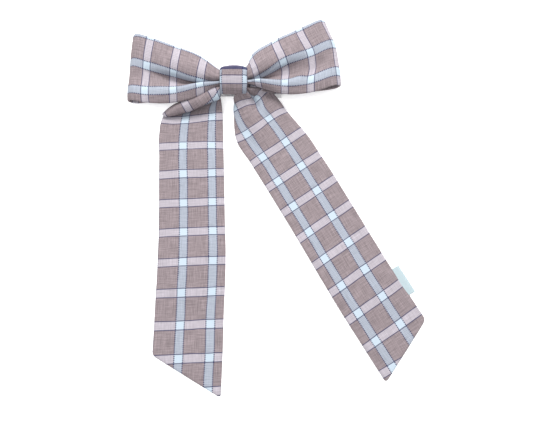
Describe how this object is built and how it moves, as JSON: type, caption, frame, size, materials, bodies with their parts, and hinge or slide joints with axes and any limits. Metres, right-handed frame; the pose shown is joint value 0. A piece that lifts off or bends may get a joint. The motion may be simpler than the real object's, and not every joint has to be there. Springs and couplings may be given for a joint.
{
  "type": "hair bow",
  "caption": "Long-tailed plaid cotton hair bow: pinched loops under a wrapped knot, slant-cut tails that lift, and a spring hair clip behind with a hinged clasp arm and sprung latch.",
  "frame": {"origin": "centre of the clasp arm's flat underside, straight below the middle of the knot; the part lies on its back on z = 0", "axes": "+X along the barrette to the right of the bow as seen from its front, +Y from the tails towards the loops, +Z out of the bow's front"},
  "size_m": [0.19, 0.2447, 0.021],
  "materials": {
    "plaid_cotton": "woven taupe cotton with pale and navy checks",
    "interfacing": "white non-woven sheet",
    "sewing_thread": "waxed sewing thread",
    "label_tape": "plain white woven tape",
    "felt": "pressed felt",
    "clip_steel": "nickel-plated spring steel"
  },
  "bodies": {
    "bow": {"loop_left": "plaid_cotton", "loop_right": "plaid_cotton", "loop_left_interfacing": "interfacing", "loop_right_interfacing": "interfacing", "loop_gather_thread": "sewing_thread", "tail_gather_thread": "sewing_thread", "knot_wrap": "plaid_cotton", "tail_neck_left": "plaid_cotton", "tail_neck_right": "plaid_cotton", "glue_pad": "felt", "barrette_base": "clip_steel", "hinge_pin": "clip_steel", "tension_bar": "clip_steel", "rivet_left": "clip_steel", "rivet_right": "clip_steel"},
    "clasp_arm": {"barrette_clasp_arm": "clip_steel"},
    "latch_front": {"latch_ear_front": "clip_steel"},
    "latch_back": {"latch_ear_back": "clip_steel"},
    "left_tail": {"tail_left": "plaid_cotton", "tail_left_interfacing": "interfacing"},
    "right_tail": {"tail_right": "plaid_cotton", "tail_right_interfacing": "interfacing", "side_label": "label_tape"}
  },
  "joints": [
    {"name": "clasp_arm_hinge", "type": "hinge", "parent": "bow", "child": "clasp_arm", "pos_m": [-0.0328, 0, 0.00155], "axis": [0, 1, 0], "range_deg": [0, 95]},
    {"name": "latch_front_squeeze", "type": "hinge", "parent": "bow", "child": "latch_front", "pos_m": [0.031, -0.0037, 0.00695], "axis": [-1, 0, 0], "range_deg": [0, 8], "stiffness_Nm_per_rad": 0.0005},
    {"name": "latch_back_squeeze", "type": "hinge", "parent": "bow", "child": "latch_back", "pos_m": [0.031, 0.0037, 0.00695], "axis": [1, 0, 0], "range_deg": [0, 8], "stiffness_Nm_per_rad": 0.0005},
    {"name": "tail_left_lift", "type": "hinge", "parent": "bow", "child": "left_tail", "pos_m": [-0.0256, -0.024, 0.003], "axis": [-1, 0, 0], "range_deg": [0, 75]},
    {"name": "tail_right_lift", "type": "hinge", "parent": "bow", "child": "right_tail", "pos_m": [0.02034, -0.02279, 0.003], "axis": [-0.8581, -0.5135, 0], "range_deg": [0, 75]}
  ],
  "couplings": [
    {"joint": "latch_back_squeeze", "follows": "latch_front_squeeze", "ratio": 1}
  ]
}
